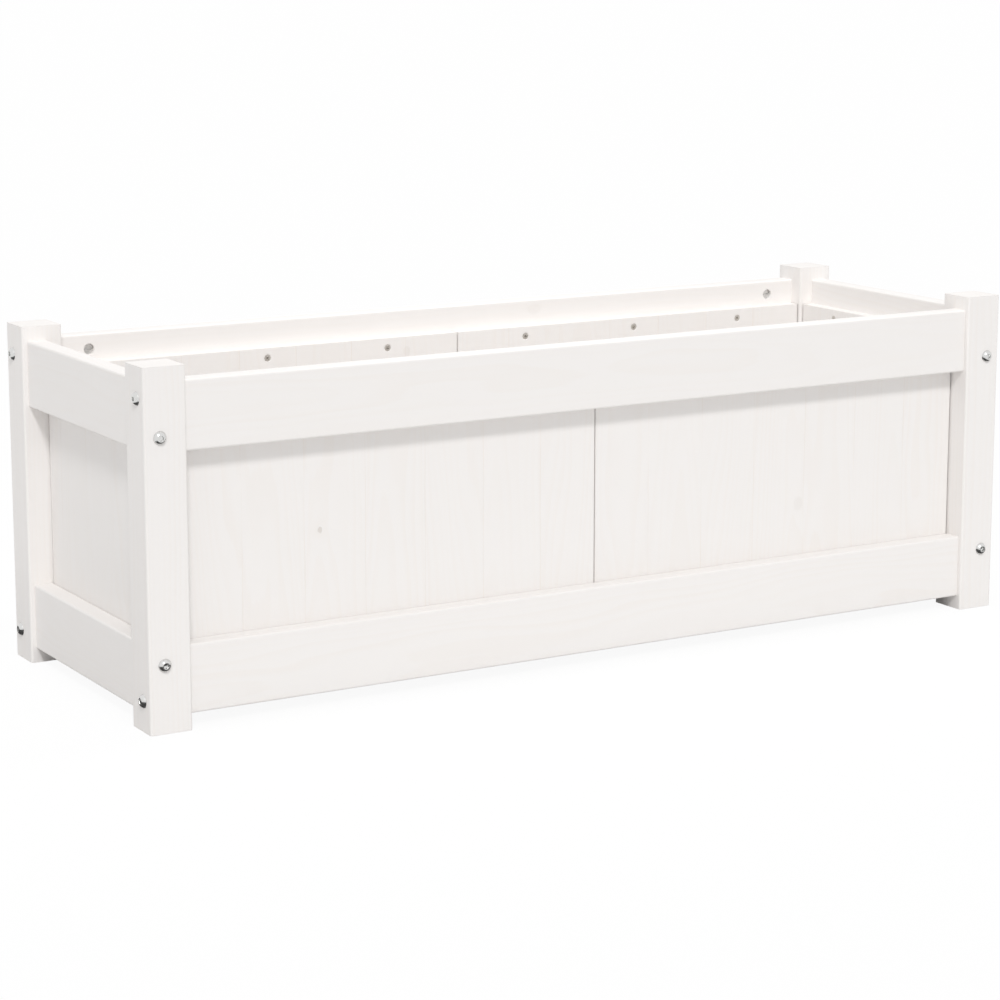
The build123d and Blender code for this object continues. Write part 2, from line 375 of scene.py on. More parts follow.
def streaks(w, place, squeeze, scale, detail=2.0, rough=0.5):
    """Noise drawn out along the grain, by multiplying the place's first number by squeeze."""
    along, across, through = place
    drawn_out = w.combine(w.math("MULTIPLY", along, squeeze), across, through)
    return w.noise(drawn_out, scale, detail, rough)


def stave_at(w, across, width, seed):
    """The number of a point's stave, the point's distance from its middle, and three draws.

    Staves are numbered from the board's middle, by rounding the distance across the grain
    divided by their width. The draws are numbers from 0 to 1 that belong to the stave.
    """
    stave = w.math("ROUND", w.math("DIVIDE", across, width))
    in_stave = w.math("SUBTRACT", across, w.math("MULTIPLY", stave, width))
    return stave, in_stave, w.split(w.draws(w.combine(stave, seed, 0.5))["Color"])


def pith_distance(w, timber, along, draws):
    """How far a point is from the pith of its stave, in millimetres.

    The pith lies under the stave and to one side, and leans along the grain. The distance
    also wanders, by a slow noise and by a fine one.
    """
    one, two, three = draws
    _, in_stave, through = timber
    side = w.math("ADD", in_stave, w.between(one, -35.0, 35.0))
    under = w.math("ADD", through, w.between(two, 22.0, 82.0))
    lean = w.math("MULTIPLY", along, w.between(three, -0.05, 0.05))
    radius = w.math("ADD", w.vector("LENGTH", w.combine(side, under, 0.0)), lean)
    drift = streaks(w, timber, squeeze=0.16, scale=0.018)
    fine_drift = streaks(w, timber, squeeze=0.05, scale=0.12)
    return w.plus(radius, (drift, 30.0), (fine_drift, 2.4))


def knot_marks(w, board, along, across, knot, shown):
    """How strongly a knot bends the rings, the bend in millimetres, and 1 inside the knot.

    The distance from the knot wavers and counts for less along the grain. The bend is a
    bell curve of that distance, taken in radii of the knot.
    """
    knot_along, knot_across, knot_radius = w.split(knot)
    from_knot = w.combine(
        w.math("MULTIPLY", w.math("SUBTRACT", along, knot_along), 0.75),
        w.math("SUBTRACT", across, knot_across),
        0.0,
    )
    waver = w.between(w.noise(board, scale=0.35, detail=1.0), -0.8, 0.8)
    apart = w.math("ADD", w.vector("LENGTH", from_knot), waver)
    in_radii = w.math("DIVIDE", apart, knot_radius)
    bell = w.math("EXPONENT", w.math("MULTIPLY", w.math("POWER", in_radii, 2.0), -0.12))
    bend = w.math("MULTIPLY", bell, shown)
    inside = w.math("MULTIPLY", w.fade(in_radii, 1.15, 0.7), shown)
    return bend, w.math("MULTIPLY", bend, knot_radius), inside


def late_wood(w, radius, ring, stave, seed):
    """How much late wood there is at a distance from the pith, with years of uneven strength.

    The distance divided by the ring spacing is the wood's age. Within a year late wood
    rises slowly and ends sharply.
    """
    age = w.math("DIVIDE", radius, ring)
    year = w.math("FRACT", age)
    late = w.math("MULTIPLY", w.fade(year, 0.25, 0.86), w.fade(year, 1.0, 0.9))
    strength = w.draws(w.combine(w.math("FLOOR", age), stave, seed))["Value"]
    return w.math("MULTIPLY", late, w.between(strength, 0.3, 1.1))


def glue_line(w, far_along, in_stave, width, stave, seed):
    """The glue line between two staves, seen here and there."""
    half_stave = w.math("MULTIPLY", width, 0.5)
    from_joint = w.math("SUBTRACT", half_stave, w.math("ABSOLUTE", in_stave))
    gaps = streaks(w, (far_along, stave, seed), squeeze=0.25, scale=0.05, detail=1.0)
    return w.math("MULTIPLY", w.fade(from_joint, 0.7, 0.15), w.fade(gaps, 0.38, 0.62))


def thin_edges(w, board, half_size):
    """Edges where the paint is thin, here and there, and the board's sawn ends.

    Of the three distances to the board's outer planes, the middle one is the distance from
    an edge. It is their sum without the least and the most.
    """
    inward = w.vector("SUBTRACT", half_size, w.vector("ABSOLUTE", board))
    near_end, near_side, near_face = w.split(inward)
    least = w.math("MINIMUM", near_end, w.math("MINIMUM", near_side, near_face))
    most = w.math("MAXIMUM", near_end, w.math("MAXIMUM", near_side, near_face))
    whole = w.math("ADD", near_end, w.math("ADD", near_side, near_face))
    from_edge = w.math("SUBTRACT", w.math("SUBTRACT", whole, least), most)
    worn = w.noise(board, scale=0.06, detail=3.0)
    edge = w.math("MULTIPLY", w.fade(from_edge, 1.4, 0.2), w.fade(worn, 0.48, 0.75))
    return edge, w.fade(near_end, 0.6, 0.1)


def pine_group(paint):
    """The node group of painted pine.

    Board is the place in the board in millimetres: X along the grain, Y across it and Z
    through the thickness. The paint is thin over late wood, glue lines, edges, sawn ends
    and the wood round a knot, and lies unevenly over the rest.
    """
    group = bpy.data.node_groups.new("painted_pine", "ShaderNodeTree")
    for name, kind in (
        ("Board", "Vector"),
        ("Half size", "Vector"),
        ("Stave", "Float"),
        ("Seed", "Float"),
        ("Knot", "Vector"),
        ("Knot shown", "Float"),
    ):
        group.interface.new_socket(name, in_out="INPUT", socket_type="NodeSocket" + kind)
    for name, kind in (("Color", "Color"), ("Roughness", "Float"), ("Height", "Float")):
        group.interface.new_socket(name, in_out="OUTPUT", socket_type="NodeSocket" + kind)
    w = Wiring(group)
    given = w.add("NodeGroupInput").outputs
    board, width, seed = given["Board"], given["Stave"], given["Seed"]
    along, across, through = w.split(board)
    stave, in_stave, draws = stave_at(w, across, width, seed)
    board_shift = w.math("MULTIPLY", seed, BOARD_SHIFT)
    shift = w.math("MULTIPLY_ADD", draws[2], STAVE_SHIFT, board_shift)
    far_along = w.math("ADD", along, shift)
    timber = (far_along, in_stave, through)
    surface = (far_along, across, through)

    radius = pith_distance(w, timber, along, draws)
    bend, pushed, knot = knot_marks(w, board, along, across, given["Knot"], given["Knot shown"])
    late = late_wood(w, w.plus(radius, (pushed, 1.6)), paint.ring / MM, stave, seed)
    joint = glue_line(w, far_along, in_stave, width, stave, seed)
    edge, sawn = thin_edges(w, board, given["Half size"])
    fibre = streaks(w, timber, squeeze=0.02, scale=1.3, detail=3.0, rough=0.6)
    cloud = streaks(w, surface, squeeze=0.3, scale=0.03, detail=3.0, rough=0.55)
    brush = streaks(w, surface, squeeze=0.05, scale=0.5)

    # How thin the paint is, and its colour
    thin = w.math("MULTIPLY", late, w.between(sawn, 1.0, 0.5))
    thin = w.math("ADD", thin, w.between(fibre, -0.5, 0.5))
    thin = w.math("ADD", thin, w.between(cloud, -0.5, 0.6))
    thin = w.plus(thin, (joint, 3.0), (edge, 1.2), (sawn, 0.25), (bend, 0.5))
    shown = w.math("MULTIPLY", w.math("MAXIMUM", thin, 0.0), paint.show)
    painted = w.mix(w.math("MINIMUM", shown, 0.9), rgba(paint.paint), rgba(paint.thin))
    painted = w.mix(w.math("MULTIPLY", knot, 0.42), painted, rgba(paint.knot))

    # Its roughness, and how far it stands up, in millimetres
    rough = w.between(cloud, paint.rough - ROUGH_SPREAD, paint.rough + ROUGH_SPREAD)
    rough = w.plus(rough, (sawn, 0.12))
    rise = w.math("MULTIPLY", late, paint.relief / MM)
    rise = w.plus(rise, (fibre, 0.02), (brush, 0.02), (joint, -0.12), (knot, 0.06))
    w.add("NodeGroupOutput", {"Color": painted, "Roughness": rough, "Height": rise})
    return group


def board_axes(node):
    """Axes along the grain, across it and through the board's thickness."""
    along = next(axis for start, axis in GRAIN.items() if node.startswith(start))
    low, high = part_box(node)
    size = high - low
    across, through = sorted((axis for axis in (X, Y, Z) if axis != along), key=lambda a: -size[a])
    return along, across, through


def paint_board(node, group, number, paint):
    """Gives a board its own painted pine, with the pattern laid out in its own frame."""
    material, w, output = new_material("painted_pine_" + node)
    low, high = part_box(node)
    axes = board_axes(node)
    middle, half = (low + high) / 2, (high - low) / 2
    place = w.add("ShaderNodeTexCoord").outputs["Object"]
    place = w.vector("SUBTRACT", place, middle)
    parts = w.split(place)
    scaled = [w.math("MULTIPLY", parts[axis], 1 / MM) for axis in axes]
    knot = KNOTS.get(node, NO_KNOT)
    pine = w.add("ShaderNodeGroup", node_tree=group)
    w.tree.links.new(w.combine(*scaled), pine.inputs["Board"])
    pine.inputs["Half size"].default_value = [half[axis] / MM for axis in axes]
    stave = paint.stave / MM if node.startswith("panel") else ONE_STAVE
    pine.inputs["Stave"].default_value = stave
    pine.inputs["Seed"].default_value = number
    pine.inputs["Knot"].default_value = knot[:3]
    pine.inputs["Knot shown"].default_value = knot[3]
    eased = w.add("ShaderNodeBevel", {"Radius": paint.ease}, samples=4).outputs[0]
    bump = w.add(
        "ShaderNodeBump",
        {"Strength": 1.0, "Distance": MM, "Height": pine.outputs["Height"], "Normal": eased},
    )
    shader = w.add(
        "ShaderNodeBsdfPrincipled",
        {
            "Base Color": pine.outputs["Color"],
            "Roughness": pine.outputs["Roughness"],
            "Normal": bump.outputs[0],
            "IOR": 1.45,
            "Specular IOR Level": 0.35,
        },
    )
    w.tree.links.new(shader.outputs[0], output.inputs["Surface"])
    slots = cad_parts[node].data.materials
    for i in range(len(slots)):
        slots[i] = material


def paint_kind(starts):
    """Paints every CAD board whose name begins with one of these words."""
    scene = bpy.context.scene
    group = bpy.data.node_groups.get("painted_pine") or pine_group(scene.garden_bed_paint)
    boards = sorted(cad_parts)
    for number, node in enumerate(boards):
        if node.startswith(starts):
            paint_board(node, group, number, scene.garden_bed_paint)
    return {"FINISHED"}


def plated_steel(name, zinc, rough):
    """Zinc plated steel, with fine cloudiness and faint scratches."""
    material, w, output = new_material(name)
    place = w.add("ShaderNodeTexCoord").outputs["Object"]
    cloud = w.noise(place, scale=420.0, detail=3.0)
    grit = w.noise(place, scale=2600.0)
    scratch = w.noise(w.vector("MULTIPLY", place, (9.0, 9.0, 1.0)), scale=700.0)
    tone = w.mix(cloud, rgba([c * 0.9 for c in zinc]), rgba(zinc))
    shine = w.between(cloud, rough - ROUGH_SPREAD, rough + ROUGH_SPREAD)
    rise = w.math("MULTIPLY_ADD", grit, 0.4, w.math("MULTIPLY", scratch, 0.6))
    bump = w.add(
        "ShaderNodeBump", {"Strength": 0.35, "Distance": 0.02 * MM, "Height": rise}
    )
    shader = w.add(
        "ShaderNodeBsdfPrincipled",
        {"Base Color": tone, "Roughness": shine, "Normal": bump.outputs[0], "Metallic": 1.0},
    )
    w.tree.links.new(shader.outputs[0], output.inputs["Surface"])
    return material


def dowel_wood(name, axis, dowel):
    """Bare beech, with short dark flecks along the dowel."""
    material, w, output = new_material(name)
    place = w.add("ShaderNodeTexCoord").outputs["Object"]
    stretch = [1.0, 1.0, 1.0]
    stretch[axis] = 0.1
    along_dowel = w.vector("MULTIPLY", place, tuple(stretch))
    fleck = w.noise(along_dowel, scale=2200.0, detail=3.0, rough=0.6)
    cloud = w.noise(place, scale=120.0)
    tone = w.mix(w.fade(fleck, 0.55, 0.75), rgba(dowel.beech), rgba(dowel.dark))
    tone = w.mix(w.math("MULTIPLY", cloud, 0.3), tone, rgba(dowel.dark))
    bump = w.add("ShaderNodeBump", {"Distance": 0.05 * MM, "Height": fleck, "Strength": 0.6})
    shader = w.add(
        "ShaderNodeBsdfPrincipled",
        {"Base Color": tone, "Normal": bump.outputs[0], "Roughness": 0.6},
    )
    w.tree.links.new(shader.outputs[0], output.inputs["Surface"])
    return material


def solids_of(node):
    """Lowest and highest corner of each separate solid in a CAD node.

    Vertices at one place share a number. Each vertex then takes the lowest number among
    the corners of its triangles, again and again, until every solid has one number.
    """
    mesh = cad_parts[node].data
    points = np.empty(len(mesh.vertices) * 3, np.float32)
    mesh.vertices.foreach_get("co", points)
    points = points.reshape(-1, 3)
    corners = np.empty(len(mesh.loops), np.int32)
    mesh.loops.foreach_get("vertex_index", corners)
    spot = np.unique(np.round(points, 6), axis=0, return_inverse=True)[1].ravel()
    triangles = spot[corners].reshape(-1, 3)
    number = np.arange(spot.max() + 1)
    while True:
        lower = number.copy()
        np.minimum.at(lower, triangles, number[triangles].min(axis=1)[:, None])
        if (lower == number).all():
            break
        number = lower
    owner = number[spot]
    solids = (points[owner == solid] for solid in np.unique(owner))
    return [(solid.min(axis=0), solid.max(axis=0)) for solid in solids]


def placed(points, start, way, quarter, turn):
    """Points from a fastener's own frame, in millimetres, to the row frame.

    The fastener's +Z goes to way, its +X to quarter turned about way by turn, and its
    origin to start.
    """
    way, quarter = np.array(way, float), np.array(quarter, float)
    third = np.cross(way, quarter)
    side = quarter * math.cos(turn) + third * math.sin(turn)
    other = np.cross(way, side)
    return np.array(start, float) + points * MM @ np.array([side, other, way])


def ring_faces(rows, columns):
    """Four-cornered faces of a surface of rings, each joined to the next."""
    index = np.arange(rows * columns).reshape(rows, columns)
    beside = np.roll(index, -1, axis=1)
    return np.stack([index[:-1], beside[:-1], beside[1:], index[1:]], axis=-1).reshape(-1, 4)


def fan(ring, middle):
    """Triangles from each side of a ring, which is an array of indices, to a middle point."""
    return np.stack([ring, np.roll(ring, -1), np.full(len(ring), middle)], axis=-1)


def closed_rings(rings):
    """Points and faces of a closed surface of rings, rows x columns x 3.

    Rings run anticlockwise about +Z. The first and last are closed with a point each, at
    their middles.
    """
    rows, columns = rings.shape[:2]
    ends = np.stack([rings[0].mean(axis=0), rings[-1].mean(axis=0)])
    ring = np.arange(columns)
    start = fan(ring, rows * columns)[:, ::-1]
    end = fan(ring + (rows - 1) * columns, rows * columns + 1)
    points = np.concatenate([rings.reshape(-1, 3), ends])
    return points, [ring_faces(rows, columns), start, end]


def capped(rings, last):
    """Points and faces of a surface of rings, closed with a point at its last or first one."""
    rows, columns = rings.shape[:2]
    ring = np.arange(columns)
    cap = fan(ring + (rows - 1) * columns, rows * columns) if last else fan(ring, rows * columns)
    middle = rings[-1 if last else 0].mean(axis=0)
    points = np.concatenate([rings.reshape(-1, 3), middle[None]])
    return points, [ring_faces(rows, columns), cap if last else cap[:, ::-1]]


def angles_round(columns):
    """Evenly spaced angles of a full turn."""
    return np.linspace(0, 2 * np.pi, columns, endpoint=False)


def round_rows(rows, columns):
    """Radii and heights of round rings, from a radius and a height for each."""
    radii, heights = np.array(rows, float).T
    return np.repeat(radii[:, None], columns, axis=1), heights


def turned(stretches):
    """Rings about the Z axis, from stretches of radii, rows x columns, and their heights."""
    radii, heights = (np.concatenate(rows) for rows in zip(*stretches))
    angle = angles_round(radii.shape[1])
    heights = np.broadcast_to(heights[:, None], radii.shape)
    return np.stack([radii * np.cos(angle), radii * np.sin(angle), heights], axis=-1)


def helix_radius(core, crest, pitch, heights, columns):
    """Radius of a thread: a triangle wave of height and angle, cut flat at root and crest."""
    angle = np.linspace(0, 1, columns, endpoint=False)
    turn = (heights[:, None] / pitch - angle) % 1.0
    wave = np.clip(1.3 * (1 - np.abs(2 * turn - 1)) - 0.12, 0, 1)
    return core + (crest - core) * wave


def joined(parts):
    """Points and faces of several surfaces as one. Their faces are lists of index arrays."""
    points, faces, count = [], [], 0
    for part_points, part_faces in parts:
        points.append(part_points)
        faces += [block + count for block in part_faces]
        count += len(part_points)
    return np.concatenate(points), faces


def make_piece(name, parts, material, replaced):
    """One object at the origin from (points in metres, faces) parts, riding on the frame."""
    points, faces = joined(parts)
    mesh = bpy.data.meshes.new(name)
    mesh.from_pydata(points, [], list(chain.from_iterable(block.tolist() for block in faces)))
    mesh.validate()
    mesh.shade_smooth()
    mesh.set_sharp_from_angle(angle=SMOOTH_ANGLE)
    mesh.materials.append(material)
    piece = bpy.data.objects.new(name, mesh)
    bpy.context.scene.collection.objects.link(piece)
    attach(piece, "root")
    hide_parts(replaced)
    return piece


def bolt_rings(size, long):
    """Rings of a bolt from the floor of its socket, over its head and along its shank.

    The origin is on the head's underside and +Z runs to the tip. The socket's rings are
    hexagons, whose radius at an angle is half the width across the flats over the cosine
    of the angle from the nearest flat's middle. The dome is part of a ball. Along the
    thread the radius is a triangle wave of height and angle. Parts of a millimetre ease
    the corners.
    """
    columns = size.columns
    head, dome = size.head / MM / 2, size.dome / MM
    radius, pitch = size.bolt / MM / 2, size.pitch / MM
    from_flat = (angles_round(columns) % (np.pi / 3)) - np.pi / 6
    hexagon = size.socket / MM / 2 / np.cos(from_flat)
    corner = size.socket / MM / math.sqrt(3)
    floor, land = -dome + SOCKET_DEPTH, corner + LAND_WIDTH
    drop = (head**2 - land**2 - dome**2) / (2 * dome)
    ball = math.hypot(head, drop)
    lift = np.linspace(dome, 0.25, DOME_RINGS)
    over = np.sqrt(ball**2 - (drop + lift) ** 2)
    socket = np.array([hexagon * 0.25, hexagon * 0.98, hexagon, hexagon, hexagon + 0.12])
    socket_heights = [floor + 0.5, floor + 0.05, floor, -dome + 0.3, -dome + 0.08]
    outside = [
        (corner + 0.35, -dome),
        (land - 0.25, -dome),
        (land - 0.05, -dome + 0.03),
        *zip(over[1:], -lift[1:]),
        (head - 0.02, -0.14),
        (head - 0.12, -0.02),
        (head - 0.35, 0.0),
        (radius + 0.25, 0.0),
        (radius + 0.05, 0.1),
        (radius, 0.35),
    ]
    thread_start = long - size.thread / MM
    plain = np.linspace(1.5, thread_start - 0.5, SHANK_RINGS)
    threaded = np.arange(thread_start, long - 0.9, pitch / RINGS_PER_TURN)
    depth = THREAD_DEPTH * pitch
    fade_in = np.clip((threaded - threaded[0]) / pitch, 0, 1)[:, None]
    thread = helix_radius(radius - depth, radius, pitch, threaded, columns)
    tip = [(radius - depth - 0.05, long - 0.25), (radius - depth - 0.3, long)]
    return turned(
        [
            (socket, socket_heights),
            round_rows(outside, columns),
            (np.full((len(plain), columns), radius), plain),
            (radius + (thread - radius) * fade_in, threaded),
            round_rows(tip, columns),
        ]
    )


def along_axis(low, high):
    """The longest way through a solid's box, and the unit vector that points outwards."""
    axis = int(np.argmax(high - low))
    way = np.zeros(3)
    way[axis] = np.sign(low[axis] + high[axis])
    return axis, way


def end_point(low, high, axis, way):
    """The middle of the end of a solid's box that lies towards way."""
    point = (low + high) / 2
    point[axis] = (high if way[axis] > 0 else low)[axis]
    return point


def make_bolts(node, scene, seed):
    """A group of bolts where the CAD has them, heads outside and each turned its own way."""
    size = scene.garden_bed_steel
    rng = np.random.default_rng(seed)
    parts = []
    for low, high in solids_of(node):
        axis, outwards = along_axis(low, high)
        long = (high[axis] - low[axis] - size.dome) / MM
        points, faces = closed_rings(bolt_rings(size, long))
        start = end_point(low, high, axis, outwards)
        start[axis] -= outwards[axis] * size.dome
        turn = rng.uniform(0, np.pi / 3)
        parts.append((placed(points, start, -outwards, (0, 0, 1), turn), faces))
    steel = plated_steel(node + "_steel", size.zinc, size.rough)
    make_piece("detailed_" + node, parts, steel, node)


def bore_angles(columns):
    """Angles round a cross bore, which start at a corner of the half wall round it."""
    return 2 * np.pi * (np.arange(columns) / columns) - np.pi / 4


def nut_wall(radius, half, bore, columns):
    """Half of a barrel nut's wall, round the hole of its cross bore.

    On the wall a place is an angle round the nut and a height. The hole's edge is where
    the bore meets the wall, and the grid runs in straight lines of angle and height from
    that edge out to the half wall's own four sides.
    """
    t = bore_angles(columns)
    hole = np.stack([np.arcsin(bore * np.cos(t) / radius), bore * np.sin(t)], axis=-1)
    side = columns // 4
    run = np.arange(side) / side * 2 - 1
    one = np.ones(side)
    sides = [(one, run), (-run, one), (-one, -run), (run, -one)]
    rim = np.concatenate([np.stack(pair, axis=-1) for pair in sides]) * (np.pi / 2, half)
    share_out = np.linspace(0, 1, WALL_RINGS)[:, None, None]
    angle, height = np.moveaxis(hole + (rim - hole) * share_out, -1, 0)
    return np.stack([radius * np.cos(angle), radius * np.sin(angle), height], axis=-1)


def threaded_bore(radius, bore, columns):
    """The tube of a cross bore along X, from mouth to mouth of a round of this radius.

    Its radius is the bore's plus a triangle wave of length and angle, which fades out at
    the mouths.
    """
    groove, pitch = 0.3, 1.0
    t = bore_angles(columns)
    reach = np.sqrt(radius**2 - (bore * np.cos(t)) ** 2)
    share_along = np.linspace(1, -1, BORE_RINGS)[:, None]
    thread = groove * np.abs(2 * ((share_along * reach / pitch + t / (2 * np.pi)) % 1.0) - 1)
    grown = bore + thread * np.clip((1 - np.abs(share_along)) * 8, 0, 1)
    return np.stack([share_along * reach, grown * np.cos(t), grown * np.sin(t)], axis=-1)


def barrel_nut_part(radius, half, bore, slot_length):
    """Points and faces of a barrel nut about +Z, cross drilled along X, slotted on +Z.

    Its wall is two halves, each a grid round one mouth of the bore. Each end is a bevel
    ring and, on +Z, a slot whose outline is a superellipse.
    """
    columns, bevel, slot_half, slot_depth, roundness = 48, 0.5, 0.65, 1.6, 0.4
    wall = nut_wall(radius, half - bevel, bore, columns)
    back = wall * (-1, -1, 1)
    tube = threaded_bore(radius, bore, columns)
    ring = columns // 2
    angle = 2 * np.pi * np.arange(ring) / ring - np.pi / 2
    circle = np.stack([np.cos(angle), np.sin(angle), 0 * angle], axis=-1)
    outline = np.sign(circle) * np.abs(circle) ** roundness * (slot_length / 2, slot_half, 0)
    up = np.array([0.0, 0.0, 1.0])
    top = np.stack(
        [
            circle * radius + up * (half - bevel),
            circle * (radius - bevel) + up * half,
            outline * 1.04 + up * half,
            outline + up * (half - 0.15),
            outline * 0.97 + up * (half - slot_depth),
            outline * 0.4 + up * (half - slot_depth),
        ]
    )
    bottom = np.stack(
        [
            circle * 0.5 - up * half,
            circle * (radius - bevel) - up * half,
            circle * radius - up * (half - bevel),
        ]
    )
    walls = [
        (grid.reshape(-1, 3), [ring_faces(*grid.shape[:2])[:, ::-1]]) for grid in (wall, back, tube)
    ]
    return joined([*walls, capped(top, last=True), capped(bottom, last=False)])


def make_barrel_nuts(node, scene):
    """A group of barrel nuts where the CAD has them, their slots facing into the bed."""
    size = scene.garden_bed_steel
    parts = []
    for low, high in solids_of(node):
        axis, outwards = along_axis(low, high)
        spans = (high - low) / MM
        radius, half = spans[Z] / 2, spans[axis] / 2
        bore = size.bolt / MM / 2 + BORE_CLEARANCE
        points, faces = barrel_nut_part(radius, half, bore, size.nut_slot / MM)
        bolt_way = (0, 1, 0) if axis == X else (1, 0, 0)
        parts.append((placed(points, (low + high) / 2, -outwards, bolt_way, 0), faces))
    steel = plated_steel(node + "_steel", size.zinc, size.rough + NUT_ROUGHER)
    piece = make_piece("detailed_" + node, parts, steel, node)
    close_seams(piece)


def close_seams(piece):
    """Joins the points that grids of one piece share along their seams."""
    mesh = bmesh.new()
    mesh.from_mesh(piece.data)
    bmesh.ops.remove_doubles(mesh, verts=mesh.verts, dist=SAME_POINT)
    mesh.to_mesh(piece.data)
    mesh.free()
    piece.data.shade_smooth()
    piece.data.set_sharp_from_angle(angle=SMOOTH_ANGLE)


def screw_rings(head, stem, long, pitch):
    """Rings of a countersunk wood screw, from the bottom of its cross recess to its tip.

    The recess's radius at an angle is a core plus four arms, which are a high power of
    the cosine of twice the angle. The thread is a triangle wave of height and angle, and
    it narrows to the tip. Parts of a millimetre ease the corners.
    """
    columns = 32
    cross = 0.75 + 1.2 * np.abs(np.cos(2 * angles_round(columns))) ** 8
    neck = head - stem + 0.5
    start = neck + 0.6
    turns = np.arange(start, long - 0.1, pitch / RINGS_PER_TURN)
    taper = np.clip((long - turns) / SCREW_POINT, 0.06, 1)[:, None] ** 0.8
    core = (stem * 0.68) * taper
    crest = np.minimum(stem, stem * (0.1 + taper))
    fade_in = np.clip((turns - start) / pitch, 0, 1)[:, None]
    thread = helix_radius(0, 1, pitch, turns, columns) * fade_in
    recess = np.array([cross * 0.3, cross * 0.8, cross * 0.96, cross])
    outside = [
        (head - 0.25, 0.0),
        (head - 0.05, 0.05),
        (head, 0.2),
        (head - 0.1, 0.4),
        (stem * 0.75, neck),
    ]
    return turned(
        [
            (recess, [1.7, 0.9, 0.15, 0.0]),
            round_rows(outside, columns),
            (core + (crest - core) * thread, turns),
        ]
    )


def make_screws(node, scene, seed):
    """A group of screws where the CAD has them, driven outwards from inside the bed."""
    size = scene.garden_bed_steel
    rng = np.random.default_rng(seed)
    parts = []
    for low, high in solids_of(node):
        axis, outwards = along_axis(low, high)
        spans = (high - low) / MM
        head = np.delete(spans, axis).max() / 2
        rings = screw_rings(head, head / 2, spans[axis], size.screw_pitch / MM)
        points, faces = closed_rings(rings)
        start = end_point(low, high, axis, -outwards)
        turn = rng.uniform(0, np.pi / 2)
        parts.append((placed(points, start, outwards, (0, 0, 1), turn), faces))
    steel = plated_steel(node + "_steel", size.screw, size.rough + SCREW_ROUGHER)
    make_piece("detailed_" + node, parts, steel, node)


def dowel_rings(radius, long, dowel):
    """Rings of a fluted dowel: a round whose radius dips in even grooves, bevelled ends."""
    angle = angles_round(dowel.flutes * 4)
    groove = dowel.depth / MM * np.clip(np.cos(dowel.flutes * angle), 0, 1)
    bevel = dowel.bevel / MM
    drops = np.array([0.8, 0.1, 0, 0, 0.1, 0.8])[:, None]
    heights = [0, bevel, bevel * 1.3, long - bevel * 1.3, long - bevel, long]
    return turned([(radius - groove - bevel * drops, heights)])


def make_dowels(node, scene):
    """A group of fluted dowels where the CAD has them."""
    dowel = scene.garden_bed_dowel
    parts = []
    for low, high in solids_of(node):
        axis, outwards = along_axis(low, high)
        spans = (high - low) / MM
        radius = np.delete(spans, axis).max() / 2
        points, faces = closed_rings(dowel_rings(radius, spans[axis], dowel))
        start = end_point(low, high, axis, -outwards)
        parts.append((placed(points, start, outwards, (0, 0, 1), 0), faces))
    wood = dowel_wood(node + "_wood", axis, dowel)
    make_piece("detailed_" + node, parts, wood, node)


def seen_directly(w):
    """1 for camera, glossy and transmission rays, and 0 for the light on the object."""
    path = w.add("ShaderNodeLightPath").outputs
    direct = w.math("MAXIMUM", path["Is Camera Ray"], path["Is Glossy Ray"])
    return w.math("MAXIMUM", direct, path["Is Transmission Ray"])


def level_rectangle(name, half, height, material):
    """A level rectangle about the Z axis, which is part of the stage. half is half its sides."""
    corner = np.array([(-1, -1, 0), (1, -1, 0), (1, 1, 0), (-1, 1, 0)], float) * np.array(half)
    mesh = bpy.data.meshes.new(name)
    mesh.from_pydata(corner + (0, 0, height), [], [(0, 1, 2, 3)])
    mesh.materials.append(material)
    square = bpy.data.objects.new(name, mesh)
    bpy.context.scene.collection.objects.link(square)
    return square


def make_floor(stage):
    """A pale floor that looks white to the camera and keeps a light shadow."""
    material, w, output = new_material("floor_white")
    lit = w.add("ShaderNodeBsdfDiffuse", {"Color": rgba(stage.bounce)}).outputs[0]
    pale = w.add("ShaderNodeBsdfDiffuse", {"Color": WHITE}).outputs[0]
    white = w.add("ShaderNodeEmission", {"Color": WHITE, "Strength": 1.0}).outputs[0]
    bright = w.add("ShaderNodeMixShader", {0: stage.shadow, 1: white, 2: pale}).outputs[0]
    seen = w.add("ShaderNodeMixShader", {0: seen_directly(w), 1: lit, 2: bright})
    w.tree.links.new(seen.outputs[0], output.inputs["Surface"])
    level_rectangle("stage_floor", FLOOR_HALF, 0.0, material)


def make_dark_card(stage):
    """A dark card round the foot of the bed, which shows in reflections alone."""
    material, w, output = new_material("dark_card")
    dark = w.add("ShaderNodeBsdfDiffuse", {"Color": rgba([stage.card] * 3)})
    w.tree.links.new(dark.outputs[0], output.inputs["Surface"])
    low, high = cad_box
    half = [side / 2 + stage.card_edge for side in high - low]
    card = level_rectangle("stage_dark_card", half, CARD_HEIGHT * MM, material)
    card.visible_camera = False
    card.visible_diffuse = False
    card.visible_shadow = False
    card.visible_transmission = False


def make_sky(stage):
    """Even light from all round, which the camera and reflections see as white."""
    world = bpy.data.worlds.new("studio")
    world.use_nodes = True
    world.node_tree.nodes.clear()
    w = Wiring(world.node_tree)
    lift = w.between(seen_directly(w), stage.sky, 1.0)
    sky = w.add("ShaderNodeBackground", {"Color": WHITE, "Strength": lift})
    w.add("ShaderNodeOutputWorld", {"Surface": sky.outputs[0]})
    bpy.context.scene.world = world


def aimed_lamp(data, place, way):
    """A lamp at a place, which shines against way."""
    lamp = bpy.data.objects.new(data.name, data)
    bpy.context.scene.collection.objects.link(lamp)
    lamp.location = place
    lamp.rotation_euler = Vector(way).to_track_quat("Z", "Y").to_euler()
    return lamp


